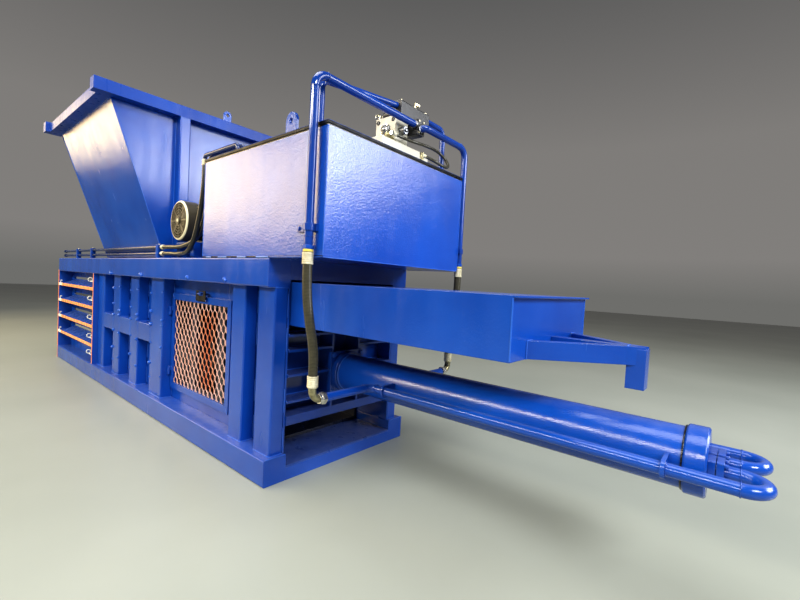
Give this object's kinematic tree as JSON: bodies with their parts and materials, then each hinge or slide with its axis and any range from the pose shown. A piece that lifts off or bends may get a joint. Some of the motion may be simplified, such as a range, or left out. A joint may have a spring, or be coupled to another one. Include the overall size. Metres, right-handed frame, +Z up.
{
  "type": "horizontal baling press",
  "caption": "Horizontal hydraulic baling press with feed hopper, oil tank, long main cylinder, sliding ram, tail box and a meshed service door.",
  "frame": {"origin": "on the floor, below the middle of the base frame", "axes": "+X along the press toward the main cylinder, +Z up, -Y the side with the service door"},
  "size_m": [7.0479, 2.08, 2.6719],
  "materials": {
    "blue_paint": "gloss",
    "orange_paint": "gloss",
    "ivory_steel": "satin",
    "olive_paint": "satin",
    "black_steel": "satin",
    "zinc_steel": "satin",
    "bare_steel": "satin",
    "rod_chrome": "gloss",
    "hose_rubber": "matte",
    "seal_rubber": "matte"
  },
  "bodies": {
    "press_frame": {"base_rails": "blue_paint", "top_rails": "blue_paint", "base_cross_members": "blue_paint", "floor_plate": "blue_paint", "side_posts": "blue_paint", "chamber_wall_near": "blue_paint", "chamber_wall_far": "blue_paint", "outlet_shelves": "blue_paint", "outlet_edge_plates": "orange_paint", "wire_guide_rings": "ivory_steel", "chamber_roof": "blue_paint", "top_headers": "blue_paint", "fixed_knife": "bare_steel", "hopper_shell": "blue_paint", "hopper_rim": "blue_paint", "hopper_ribs": "blue_paint", "lifting_eyes": "blue_paint", "tank_body": "blue_paint", "tank_gasket": "seal_rubber", "tank_lid": "blue_paint", "motor_stand": "blue_paint", "motor_body": "olive_paint", "motor_fan_cowl": "olive_paint", "pump_bellhousing": "black_steel", "hydraulic_pump": "black_steel", "valve_pedestal": "ivory_steel", "valve_block": "ivory_steel", "spool_valve_body": "black_steel", "valve_solenoids": "black_steel", "port_block": "black_steel", "pressure_pipe_near": "blue_paint", "pressure_pipe_far": "blue_paint", "tank_pipes": "blue_paint", "riser_clamps": "blue_paint", "hose_near": "hose_rubber", "hose_far": "hose_rubber", "valve_hose": "hose_rubber", "line_hose_upper": "hose_rubber", "line_hose_lower": "hose_rubber", "hose_fittings": "zinc_steel", "line_tubes": "blue_paint", "line_clamps": "blue_paint", "cylinder_mount": "blue_paint", "cylinder_head": "blue_paint", "cylinder_tube": "blue_paint", "cylinder_end_cap": "blue_paint", "side_pipes": "blue_paint", "port_flanges": "blue_paint", "pipe_brackets": "blue_paint", "door_fixings": "blue_paint"},
    "ram": {"ram_face": "bare_steel", "ram_knife": "bare_steel", "ram_body": "blue_paint", "tail_box": "blue_paint", "tail_arms": "blue_paint", "piston_rod": "rod_chrome"},
    "door": {"door_frame": "blue_paint", "door_mesh": "orange_paint"},
    "hasp": {"door_hasp": "black_steel"},
    "rotor": {"motor_rotor": "bare_steel"}
  },
  "joints": [
    {"name": "ram_slide", "type": "slide", "parent": "press_frame", "child": "ram", "axis": [-1, 0, 0], "range_m": [0, 1.6]},
    {"name": "door_hinge", "type": "hinge", "parent": "press_frame", "child": "door", "pos_m": [0.854, -0.4983, 0.6], "axis": [0, 0, -1], "range_deg": [0, 95]},
    {"name": "hasp_hinge", "type": "hinge", "parent": "door", "child": "hasp", "pos_m": [1.3875, -0.4953, 0.995], "axis": [1, 0, 0], "range_deg": [0, 150]},
    {"name": "rotor_spin", "type": "hinge", "parent": "press_frame", "child": "rotor", "pos_m": [1.138, -0.3, 1.584], "axis": [0, 1, 0], "continuous": true}
  ]
}
